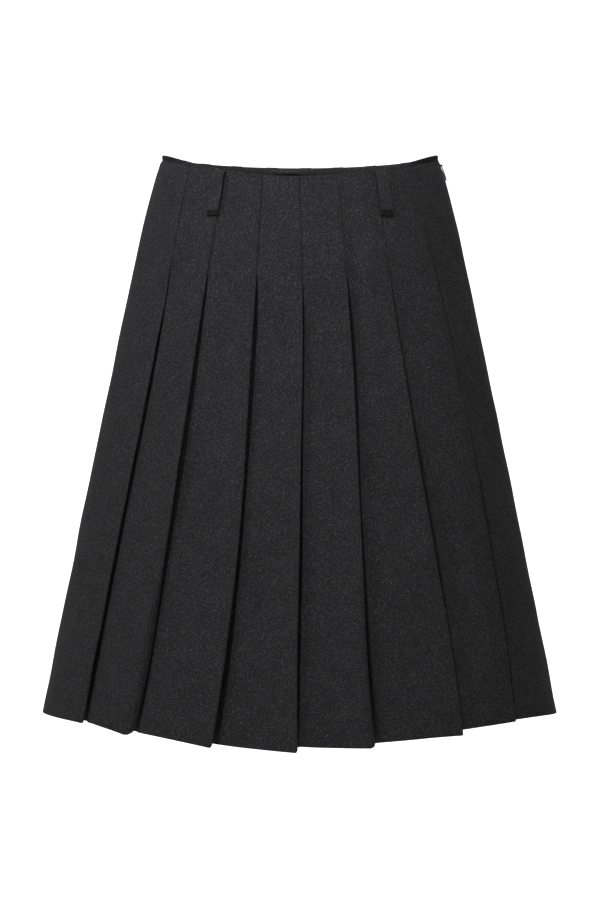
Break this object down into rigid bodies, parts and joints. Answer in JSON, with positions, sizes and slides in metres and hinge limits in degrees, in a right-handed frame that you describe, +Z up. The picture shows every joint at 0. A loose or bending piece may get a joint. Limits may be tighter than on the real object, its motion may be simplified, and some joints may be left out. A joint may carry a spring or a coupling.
{
  "type": "pleated midi skirt",
  "caption": "Hollow A-line midi skirt with knife pleats stitched down over the hips, belt loops at the waist and a concealed side zip.",
  "frame": {"origin": "middle of the waist opening, level with the waist edge at the sides", "axes": "+Z up out of the waist, -Y towards the skirt's front, +X towards the wearer's left side"},
  "size_m": [0.5908, 0.3446, 0.666],
  "materials": {
    "wool": "matt charcoal heather wool suiting",
    "facing": "matt dark facing cloth",
    "tape": "woven zip tape",
    "zip_metal": "dark enamelled zip"
  },
  "bodies": {
    "skirt": {"front": "wool", "back": "wool", "back_facing": "facing", "loop_front_right": "wool", "loop_front_left": "wool", "loop_back_left": "wool", "loop_back_right": "wool", "zip_tape": "tape", "zip_slider": "zip_metal"},
    "zip_pull": {"zip_pull": "zip_metal"}
  },
  "joints": [
    {"name": "zip_pull_swing", "type": "hinge", "parent": "skirt", "child": "zip_pull", "pos_m": [0.1632, 0.00836, -0.0098], "axis": [0.1038, -0.9942, 0.0279], "range_deg": [0, 160]}
  ]
}
